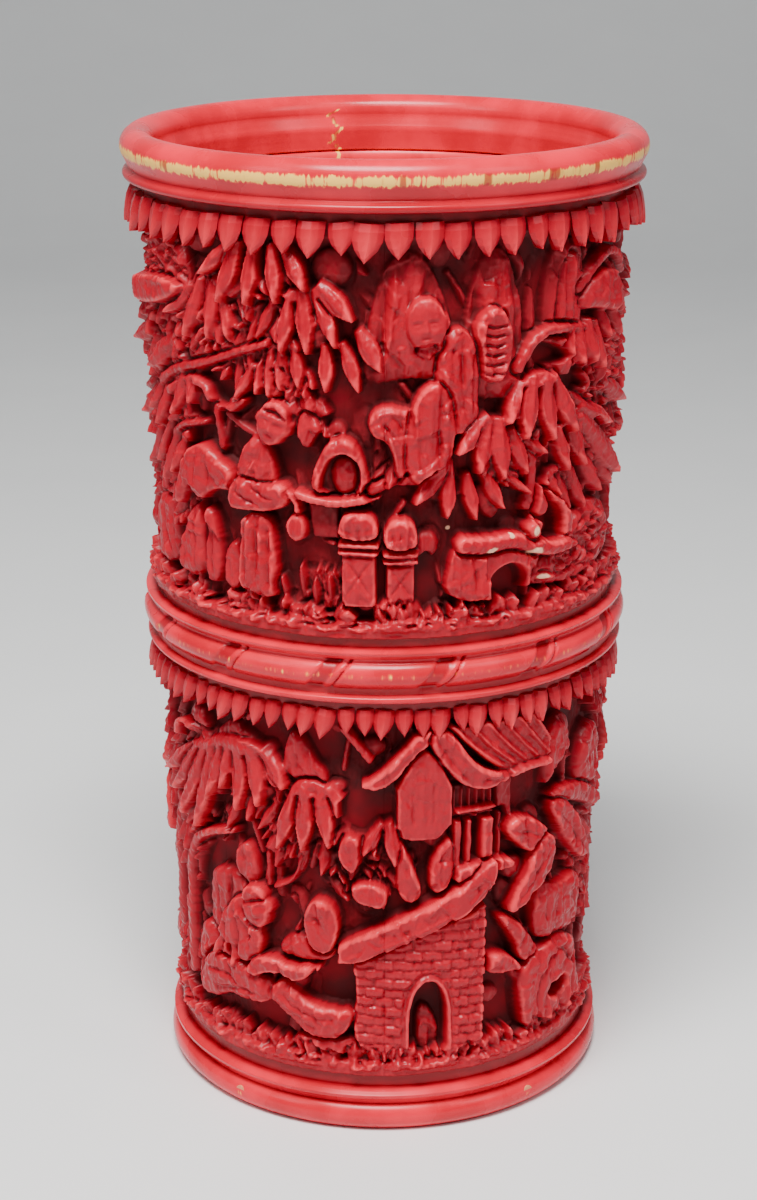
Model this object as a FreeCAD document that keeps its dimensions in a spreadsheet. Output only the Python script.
import FreeCAD, Part
import os
import Sketcher
from FreeCAD import Placement, Rotation, Vector

# A carved brush pot, turned and carved in sections that are slid over one plain liner tube and glued:
# foot ring, lower carved sleeve, middle band, upper carved sleeve and lip ring, with a base disc that is
# pegged into the foot. Millimetres, +Z up, the origin in the middle of the flat face the pot stands on.
# The front is at -Y, and bearings around the pot are in degrees from the front, positive towards +X.

doc = FreeCAD.newDocument("brush_pot")

# ---------------------------------------------------------------- driving dimensions

SIZES = [
    # heights of the stacked sections
    ("foot_height", 7.2, "foot ring, from the table to the lower sleeve"),
    ("lower_height", 48.8, "lower carved sleeve"),
    ("band_height", 9.0, "middle band"),
    ("upper_height", 48.0, "upper carved sleeve"),
    ("lip_height", 7.0, "lip ring, from the upper sleeve to the top"),
    # radii of the carved surface, which leans outwards towards the mouth
    ("foot_surface", 28.0, "carved surface just above the foot ring"),
    ("band_surface", 29.9, "carved surface at the middle band"),
    ("mouth_surface", 31.1, "carved surface under the lip ring"),
    # what stands proud of the carved surface
    ("foot_proud", 0.3, "foot bead beyond the carved surface"),
    ("band_proud", 0.4, "middle bead beyond the carved surface"),
    ("lip_proud", 0.5, "lip bead beyond the carved surface"),
    # the liner tube and the base disc
    ("relief_depth", 3.5, "carved surface down to the liner tube"),
    ("liner_wall", 1.1, "wall of the liner tube"),
    ("disc_thickness", 2.6, "base disc"),
    ("disc_recess", 0.8, "base disc's underside above the table"),
    ("disc_seat", 1.3, "width of the ledge that the base disc's rim bears on"),
    ("peg_radius", 0.7, "pegs through the foot ring into the base disc"),
    ("peg_length", 5.5, "pegs, measured inwards from the foot ring's face"),
    # the rings' mouldings
    ("foot_bead", 1.8, "radius of the foot bead's section"),
    ("band_bead", 1.6, "radius of the middle bead's section"),
    ("lip_bead", 2.05, "radius of the lip bead's section"),
    ("neck_depth", 1.3, "dark recess at each end of a ring, below the carved surface"),
    ("neck_height", 1.3, "height of each recess"),
    ("tongue_height", 1.8, "tongue of a ring inside the end of a sleeve"),
    ("tongue_wall", 0.9, "wall of the tongue"),
    # the carved sleeves
    ("web_wall", 0.9, "thin ground left behind the carving"),
    ("ledge_height", 3.0, "rocky ground strip at the foot of each sleeve"),
    ("header_height", 3.2, "plain strip behind each leaf fringe"),
    ("header_depth", 1.0, "strip behind the fringe, below the carved surface"),
    ("leaf_length", 3.4, "leaves of the upper fringe"),
    ("leaf_width", 2.9, "leaves of the upper fringe"),
    ("small_leaf_length", 2.9, "leaves of the lower fringe"),
    ("small_leaf_width", 2.0, "leaves of the lower fringe"),
    ("glue_gap", 0.02, "room for glue between pieces that slide together"),
]

UPPER_LEAVES = 58
LOWER_LEAVES = 80
PEG_BEARINGS = (-140, -40, 40, 140)

sheet = doc.addObject("Spreadsheet::Sheet", "Sizes")
for row, (alias, value, note) in enumerate(SIZES, start=1):
    sheet.set(f"A{row}", alias)
    sheet.set(f"B{row}", str(value))
    sheet.set(f"C{row}", note)
    sheet.setAlias(f"B{row}", alias)
doc.recompute()


def use(text):
    """The expression with each driving dimension's name turned into a reference to its cell."""
    for alias, _value, _note in SIZES:
        text = text.replace(f"[{alias}]", f"Sizes.{alias}")
    return f"({text})"


# ---------------------------------------------------------------- heights and radii shared by the pieces

FOOT_TOP = "[foot_height]"
LOWER_TOP = f"({FOOT_TOP} + [lower_height])"
BAND_TOP = f"({LOWER_TOP} + [band_height])"
UPPER_TOP = f"({BAND_TOP} + [upper_height])"
LIP_TOP = f"({UPPER_TOP} + [lip_height])"
DISC_TOP = "([disc_recess] + [disc_thickness])"

LINER_LOW = "([foot_surface] - [relief_depth])"
LINER_HIGH = "([mouth_surface] - [relief_depth])"


def liner_radius(height):
    """Outer radius of the liner tube, a straight cone from the base disc to the lip ring."""
    share = f"(({height}) - {DISC_TOP}) / ({UPPER_TOP} - {DISC_TOP})"
    return f"({LINER_LOW} + ({LINER_HIGH} - {LINER_LOW}) * {share})"


def bore_radius(height):
    """Radius of the hole through a section that slides over the liner tube."""
    return f"({liner_radius(height)} + [glue_gap])"


# ---------------------------------------------------------------- ways of making a piece


def origin_plane(body, role):
    """One of a body's own origin planes or axes."""
    return next(feature for feature in body.Origin.OriginFeatures if feature.Role == role)


def new_body(name):
    body = doc.addObject("PartDesign::Body", name)
    body.Label = name
    return body


def upright_sketch(body, name, outward="0"):
    """A sketch on the body's upright plane, its own X to the right, its Y up and facing the front."""
    sketch = body.newObject("Sketcher::SketchObject", name)
    sketch.AttachmentSupport = (origin_plane(body, "XZ_Plane"), [""])
    sketch.MapMode = "FlatFace"
    sketch.setExpression("AttachmentOffset.Base.z", use(outward))
    return sketch


def draw_outline(sketch, corners):
    """A closed outline of straight sides whose corners (across, up) are expressions."""
    count = len(corners)
    rough = [Vector(30 + 5 * (n % 2), 10 * n, 0) for n in range(count)]
    for n in range(count):
        sketch.addGeometry(Part.LineSegment(rough[n], rough[(n + 1) % count]), False)
    for n in range(count):
        sketch.addConstraint(Sketcher.Constraint("Coincident", n, 2, (n + 1) % count, 1))
    for n, (across, up) in enumerate(corners):
        for direction, size in (("DistanceX", across), ("DistanceY", up)):
            index = sketch.addConstraint(Sketcher.Constraint(direction, -1, 1, n, 1, 10.0 + n))
            sketch.setExpression(f"Constraints[{index}]", use(size))


def turn(body, name, corners):
    """Turns an outline of (radius, height) corners around the pot's axis, as on a lathe."""
    sketch = upright_sketch(body, f"{name}_outline")
    draw_outline(sketch, corners)
    blank = body.newObject("PartDesign::Revolution", name)
    blank.Profile = (sketch, [""])
    blank.ReferenceAxis = (sketch, ["V_Axis"])
    blank.Angle = 360
    doc.recompute()
    return blank


def round_bead(body, name, centre_radius, section_radius, height):
    """A half-round moulding that runs around the pot."""
    bead = body.newObject("PartDesign::AdditiveTorus", name)
    bead.setExpression("Radius1", use(centre_radius))
    bead.setExpression("Radius2", use(section_radius))
    bead.setExpression("Placement.Base.z", use(height))
    doc.recompute()
    return bead


def leaf_fringe(body, name, count, root, length, width, surface):
    """A row of pointed leaves that hang side by side, their roots at the height root."""
    inner = f"({surface} - [header_depth] - 0.6)"
    sketch = upright_sketch(body, f"{name}_leaf", inner)
    half = f"{width} / 2"
    draw_outline(
        sketch,
        [
            (f"-({half})", root),
            (f"-({half})", f"{root} - {length} / 3"),
            ("0", f"{root} - {length}"),
            (half, f"{root} - {length} / 3"),
            (half, root),
        ],
    )
    leaf = body.newObject("PartDesign::Pad", name)
    leaf.Profile = (sketch, [""])
    leaf.setExpression("Length", use(f"{surface} - 0.25 - {inner}"))
    leaf.Refine = False
    doc.recompute()
    row = body.newObject("PartDesign::PolarPattern", f"{name}_row")
    row.Originals = [leaf]
    row.Axis = (origin_plane(body, "Z_Axis"), [""])
    row.Angle = 360
    row.Occurrences = count
    row.Refine = False
    body.Tip = row
    doc.recompute()
    return row


def carve_motif(name, bearing, width, low, high, radius):
    """A raised block of the carving: a slice of the wall, width degrees wide, from low to high."""
    block = doc.addObject("Part::Cylinder", name)
    block.setExpression("Radius", use(radius))
    block.setExpression("Height", use(f"({high}) - ({low})"))
    block.Angle = width
    block.Placement = Placement(Vector(0, 0, 0), Rotation(Vector(0, 0, 1), bearing - 90 - width / 2))
    block.setExpression("Placement.Base.z", use(low))
    return block


def bore_cutter(name, low, high):
    """The tapering core that a sleeve's hole is cut with, so that it fits over the liner tube."""
    core = doc.addObject("Part::Cone", f"{name}_core")
    core.setExpression("Radius1", use(bore_radius(low)))
    core.setExpression("Radius2", use(bore_radius(high)))
    core.setExpression("Height", use(f"({high}) - ({low})"))
    core.setExpression("Placement.Base.z", use(low))
    return core


def rebate_cutter(name, level, start):
    """The short core that cuts room for a ring's tongue in the end of a sleeve."""
    core = doc.addObject("Part::Cylinder", f"{name}_rebate")
    core.setExpression("Radius", use(f"{bore_radius(level)} + [tongue_wall] + [glue_gap]"))
    core.setExpression("Height", use("[tongue_height] + [glue_gap]"))
    core.setExpression("Placement.Base.z", use(start))
    return core


# ---------------------------------------------------------------- liner tube


def make_liner_tube():
    """The plain tapering tube that the sections are glued to, and the dark ground of the carving."""
    body = new_body("liner_tube")
    low_out = liner_radius(DISC_TOP)
    high_out = liner_radius(UPPER_TOP)
    turn(
        body,
        "liner_blank",
        [
            (f"{low_out} - [liner_wall]", DISC_TOP),
            (low_out, DISC_TOP),
            (high_out, UPPER_TOP),
            (f"{high_out} - [liner_wall]", UPPER_TOP),
        ],
    )
    return body


# ---------------------------------------------------------------- foot ring, base disc and pegs

DISC_RADIUS = f"({LINER_LOW} + [disc_seat])"
FOOT_EDGE = "([foot_surface] + [foot_proud])"


def make_foot_ring():
    body = new_body("foot_ring")
    groove = "([foot_surface] - 0.5)"
    flange_low = "(2 * [foot_bead] + 0.4)"
    flange_edge = f"({flange_low} + 0.9)"
    neck_low = f"({FOOT_TOP} - [neck_height] - 0.4)"
    tongue = f"({bore_radius(FOOT_TOP)} + [tongue_wall])"
    tongue_top = f"({FOOT_TOP} + [tongue_height])"
    turn(
        body,
        "foot_blank",
        [
            (f"{DISC_RADIUS} + [glue_gap]", "0"),
            (f"{FOOT_EDGE} - 0.9", "0"),
            (f"{FOOT_EDGE} - 0.9", "2 * [foot_bead]"),
            (groove, flange_low),
            ("[foot_surface]", flange_edge),
            ("[foot_surface] - 0.8", neck_low),
            ("[foot_surface] - [neck_depth]", neck_low),
            ("[foot_surface] - [neck_depth]", FOOT_TOP),
            (tongue, FOOT_TOP),
            (tongue, tongue_top),
            (bore_radius(tongue_top), tongue_top),
            (bore_radius(DISC_TOP), DISC_TOP),
            (f"{DISC_RADIUS} + [glue_gap]", DISC_TOP),
        ],
    )
    round_bead(body, "foot_moulding", f"{FOOT_EDGE} - [foot_bead]", "[foot_bead]", "[foot_bead]")
    seat = body.newObject("PartDesign::SubtractiveCylinder", "disc_seat")
    seat.setExpression("Radius", use(f"{DISC_RADIUS} + [glue_gap]"))
    seat.setExpression("Height", use(DISC_TOP))
    doc.recompute()
    for bearing in PEG_BEARINGS:
        hole = body.newObject("PartDesign::SubtractiveCylinder", "peg_hole")
        hole.setExpression("Radius", use("[peg_radius]"))
        hole.setExpression("Height", use("[peg_length] + 1"))
        place_peg(hole, bearing, f"{FOOT_EDGE} - [peg_length]")
        doc.recompute()
    return body


def place_peg(piece, bearing, start):
    """Lays a cylinder flat at the base disc's mid height, pointing outwards at its bearing."""
    outwards = Rotation(Vector(0, 0, 1), bearing - 90) * Rotation(Vector(0, 1, 0), 90)
    piece.Placement = Placement(Vector(0, 0, 0), outwards)
    piece.setExpression("Placement.Base.x", use(f"({start}) * sin({bearing} deg)"))
    piece.setExpression("Placement.Base.y", use(f"-({start}) * cos({bearing} deg)"))
    piece.setExpression("Placement.Base.z", use("[disc_recess] + [disc_thickness] / 2"))


def make_base_disc():
    """The floor of the pot, let into the foot ring from below."""
    body = new_body("base_disc")
    chamfer = "0.3"
    turn(
        body,
        "disc_blank",
        [
            ("0", "[disc_recess]"),
            (f"{DISC_RADIUS} - {chamfer}", "[disc_recess]"),
            (DISC_RADIUS, f"[disc_recess] + {chamfer}"),
            (DISC_RADIUS, DISC_TOP),
            ("0", DISC_TOP),
        ],
    )
    for bearing in PEG_BEARINGS:
        hole = body.newObject("PartDesign::SubtractiveCylinder", "disc_peg_hole")
        hole.setExpression("Radius", use("[peg_radius]"))
        hole.setExpression("Height", use("[peg_length] + 1"))
        place_peg(hole, bearing, f"{FOOT_EDGE} - [peg_length]")
        doc.recompute()
    return body


def make_base_pegs():
    """The pegs that lock the base disc, a group of separate solids trimmed to the foot bead."""
    pegs = []
    for bearing in PEG_BEARINGS:
        peg = doc.addObject("Part::Cylinder", "peg")
        peg.setExpression("Radius", use("[peg_radius] - [glue_gap]"))
        peg.setExpression("Height", use("[peg_length] - 0.1"))
        place_peg(peg, bearing, f"{FOOT_EDGE} - [peg_length]")
        pegs.append(peg)
    group = doc.addObject("Part::Compound", "base_pegs")
    group.Links = pegs
    group.Label = "base_pegs"
    return group


# ---------------------------------------------------------------- carved sleeves


def make_sleeve(name, low, high, low_surface, high_surface, motifs, count, leaf_size):
    """A carved sleeve: a thin ground, a rocky ledge, the raised motifs and a hanging leaf fringe."""
    ground = new_body(f"{name}_ground")
    length, width = leaf_size
    low_web = f"({bore_radius(low)} + [web_wall])"
    high_web = f"({bore_radius(high)} + [web_wall])"
    ledge_top = f"({low} + [ledge_height])"
    header_low = f"({high} - [header_height])"
    header = f"({high_surface} - [header_depth])"
    turn(
        ground,
        f"{name}_blank",
        [
            (f"{bore_radius(low)} - 1", low),
            (low_surface, low),
            (low_surface, ledge_top),
            (low_web, ledge_top),
            (high_web, header_low),
            (header, f"{header_low} + 0.8"),
            (header, high),
            (f"{bore_radius(high)} - 1", high),
        ],
    )
    leaf_fringe(ground, f"{name}_fringe", count, high, length, width, high_surface)

    open_height = f"({header_low} - {ledge_top})"
    blocks = []
    for motif, bearing, wide, from_share, to_share, depth in motifs:
        foot = f"({ledge_top} + {open_height} * {from_share} - 0.2)"
        top = f"({ledge_top} + {open_height} * {to_share})"
        surface = f"({low_surface} + ({high_surface} - {low_surface}) * {from_share} - {depth})"
        blocks.append(carve_motif(motif, bearing, wide, foot, top, surface))
    carving = doc.addObject("Part::MultiFuse", f"{name}_carving")
    carving.Shapes = [ground] + blocks

    cores = doc.addObject("Part::MultiFuse", f"{name}_cores")
    cores.Shapes = [
        bore_cutter(name, low, high),
        rebate_cutter(name, low, low),
        rebate_cutter(name, high, f"{high} - [tongue_height] - [glue_gap]"),
    ]
    sleeve = doc.addObject("Part::Cut", name)
    sleeve.Base = carving
    sleeve.Tool = cores
    sleeve.Label = name
    doc.recompute()
    return sleeve


# name, bearing, width in degrees, from and to as shares of the open height, depth below the surface
UPPER_MOTIFS = [
    ("leaf_mound_left", -61, 20, 0.86, 1.0, 0.6),
    ("hanging_leaves_left", -39, 23, 0.70, 0.94, 0.5),
    ("hanging_leaves_middle", -15, 22, 0.62, 0.96, 0.4),
    ("peak_middle", 5, 15, 0.66, 0.98, 0.9),
    ("peak_right", 25, 14, 0.70, 0.97, 0.9),
    ("peak_far_right", 45, 13, 0.74, 0.98, 1.0),
    ("palm_left", -50, 16, 0.0, 0.42, 0.9),
    ("standing_figure", -29, 13, 0.02, 0.60, 0.3),
    ("cave_roof", -10, 15, 0.33, 0.50, 0.5),
    ("post_left", -6, 8, 0.0, 0.29, 0.4),
    ("post_right", 3.5, 7, 0.0, 0.27, 0.4),
    ("seated_figure", 10, 20, 0.42, 0.92, 0.2),
    ("tree_crown", 33, 24, 0.30, 0.68, 0.4),
    ("root_arch_foot", 16, 6, 0.0, 0.20, 0.5),
    ("root_arch_top", 29, 28, 0.13, 0.26, 0.3),
    ("rock_right", 57, 24, 0.0, 0.28, 0.5),
    ("tree_right", 57, 22, 0.32, 0.86, 0.6),
    ("rock_back_left", -80, 16, 0.0, 0.55, 0.8),
    ("pine_back_left", -100, 22, 0.30, 0.90, 0.5),
    ("pagoda_back", -128, 24, 0.0, 0.70, 0.5),
    ("peak_back_left", -156, 22, 0.45, 0.98, 0.9),
    ("bridge_back", 178, 34, 0.05, 0.34, 0.4),
    ("pine_back", 154, 22, 0.30, 0.88, 0.5),
    ("figure_back", 128, 14, 0.02, 0.52, 0.3),
    ("rock_back_right", 106, 22, 0.0, 0.60, 0.7),
    ("leaf_mound_right", 84, 20, 0.50, 0.96, 0.6),
]

LOWER_MOTIFS = [
    ("leaf_rock_left", -62, 14, 0.82, 0.97, 0.8),
    ("banana_leaves_left", -44, 30, 0.60, 0.94, 0.4),
    ("banana_leaves_middle", -19, 18, 0.62, 0.88, 0.4),
    ("tree_trunk_left", -61, 9, 0.28, 0.62, 0.7),
    ("chair_back", -47, 13, 0.28, 0.52, 0.9),
    ("seated_scholar", -40, 16, 0.08, 0.50, 0.2),
    ("low_table", -27, 18, 0.22, 0.33, 0.3),
    ("rock_seat", -20, 22, 0.05, 0.19, 0.3),
    ("gate_wall_left", -1, 14, 0.0, 0.34, 0.3),
    ("gate_wall_right", 22, 11, 0.0, 0.42, 0.3),
    ("gate_roof", 6, 40, 0.36, 0.52, 0.0),
    ("low_leaves", 5, 26, 0.54, 0.70, 0.5),
    ("pavilion_front", 10, 15, 0.70, 0.98, 0.5),
    ("pavilion_roof", 32, 32, 0.84, 0.98, 0.2),
    ("pavilion_columns", 23, 12, 0.58, 0.84, 1.2),
    ("leaf_right", 42, 18, 0.50, 0.74, 0.4),
    ("rock_panel", 53, 18, 0.36, 0.46, 0.5),
    ("grotto", 51, 25, 0.0, 0.34, 0.3),
    ("trunk_right", 74, 12, 0.10, 0.80, 0.6),
    ("rock_back_right_low", 100, 26, 0.0, 0.46, 0.5),
    ("figure_back_right_low", 124, 14, 0.02, 0.50, 0.3),
    ("pavilion_back_low", 150, 26, 0.10, 0.78, 0.4),
    ("wall_back_low", 182, 30, 0.0, 0.40, 0.4),
    ("leaves_back_low", -150, 28, 0.46, 0.94, 0.5),
    ("grotto_back_low", -122, 24, 0.0, 0.40, 0.4),
    ("leaves_back_left_low", -96, 26, 0.50, 0.96, 0.5),
    ("rock_back_left_low", -88, 22, 0.0, 0.42, 0.6),
]


# ---------------------------------------------------------------- middle band and lip ring


def make_middle_band():
    body = new_body("middle_band")
    edge = "([band_surface] + [band_proud])"
    bead_low = f"({LOWER_TOP} + 3.2)"
    bead_top = f"({bead_low} + 2 * [band_bead])"
    fillet_low = f"({LOWER_TOP} + [neck_height])"
    flange_edge = f"({bead_top} + 0.9)"
    neck_low = f"({BAND_TOP} - [neck_height])"
    low_tongue = f"({bore_radius(LOWER_TOP)} + [tongue_wall])"
    high_tongue = f"({bore_radius(BAND_TOP)} + [tongue_wall])"
    low_end = f"({LOWER_TOP} - [tongue_height])"
    high_end = f"({BAND_TOP} + [tongue_height])"
    turn(
        body,
        "band_blank",
        [
            (bore_radius(low_end), low_end),
            (low_tongue, low_end),
            (low_tongue, LOWER_TOP),
            ("[band_surface] - [neck_depth]", LOWER_TOP),
            ("[band_surface] - [neck_depth]", fillet_low),
            ("[band_surface]", fillet_low),
            ("[band_surface]", f"{fillet_low} + 0.7"),
            ("[band_surface] - 0.7", f"{fillet_low} + 1.1"),
            ("[band_surface] - 0.7", bead_low),
            (f"{edge} - 0.8", bead_low),
            (f"{edge} - 0.8", bead_top),
            (f"{edge} - 0.3", flange_edge),
            (f"{edge} - 1.1", neck_low),
            ("[band_surface] - [neck_depth]", neck_low),
            ("[band_surface] - [neck_depth]", BAND_TOP),
            (high_tongue, BAND_TOP),
            (high_tongue, high_end),
            (bore_radius(high_end), high_end),
        ],
    )
    round_bead(body, "band_moulding", f"{edge} - [band_bead]", "[band_bead]", f"{bead_low} + [band_bead]")
    return body


def make_lip_ring():
    body = new_body("lip_ring")
    edge = "([mouth_surface] + [lip_proud])"
    inner = f"({LINER_HIGH} - [liner_wall] + 0.6)"
    low_tongue = f"({bore_radius(UPPER_TOP)} + [tongue_wall])"
    low_end = f"({UPPER_TOP} - [tongue_height])"
    fillet_low = f"({UPPER_TOP} + [neck_height])"
    bead_height = f"({LIP_TOP} - [lip_bead])"
    turn(
        body,
        "lip_blank",
        [
            (bore_radius(low_end), low_end),
            (low_tongue, low_end),
            (low_tongue, UPPER_TOP),
            ("[mouth_surface] - [neck_depth]", UPPER_TOP),
            ("[mouth_surface] - [neck_depth]", fillet_low),
            ("[mouth_surface]", f"{fillet_low} + 0.1"),
            ("[mouth_surface]", f"{fillet_low} + 0.9"),
            ("[mouth_surface] - 0.3", f"{fillet_low} + 1.2"),
            (f"{edge} - [lip_bead]", bead_height),
            (inner, f"{UPPER_TOP} + 3.6"),
            (inner, UPPER_TOP),
            (bore_radius(UPPER_TOP), UPPER_TOP),
        ],
    )
    round_bead(body, "lip_moulding", f"{edge} - [lip_bead]", "[lip_bead]", bead_height)
    return body


# ---------------------------------------------------------------- the whole pot

pieces = [
    make_foot_ring(),
    make_base_disc(),
    make_base_pegs(),
    make_liner_tube(),
    make_sleeve(
        "lower_sleeve",
        FOOT_TOP,
        LOWER_TOP,
        "[foot_surface]",
        "[band_surface]",
        LOWER_MOTIFS,
        LOWER_LEAVES,
        ("[small_leaf_length]", "[small_leaf_width]"),
    ),
    make_middle_band(),
    make_sleeve(
        "upper_sleeve",
        BAND_TOP,
        UPPER_TOP,
        "[band_surface]",
        "[mouth_surface]",
        UPPER_MOTIFS,
        UPPER_LEAVES,
        ("[leaf_length]", "[leaf_width]"),
    ),
    make_lip_ring(),
]
doc.recompute()

for item in doc.Objects:
    if "Invalid" in item.State or "Error" in item.State:
        raise RuntimeError(f"{item.Label} did not build: {item.State}")
for piece in pieces:
    if piece.Shape.isNull() or not piece.Shape.isValid():
        raise RuntimeError(f"{piece.Label} has no valid shape")

os.makedirs("parts", exist_ok=True)
for piece in pieces:
    piece.Shape.exportStep(f"parts/{piece.Label}.step")
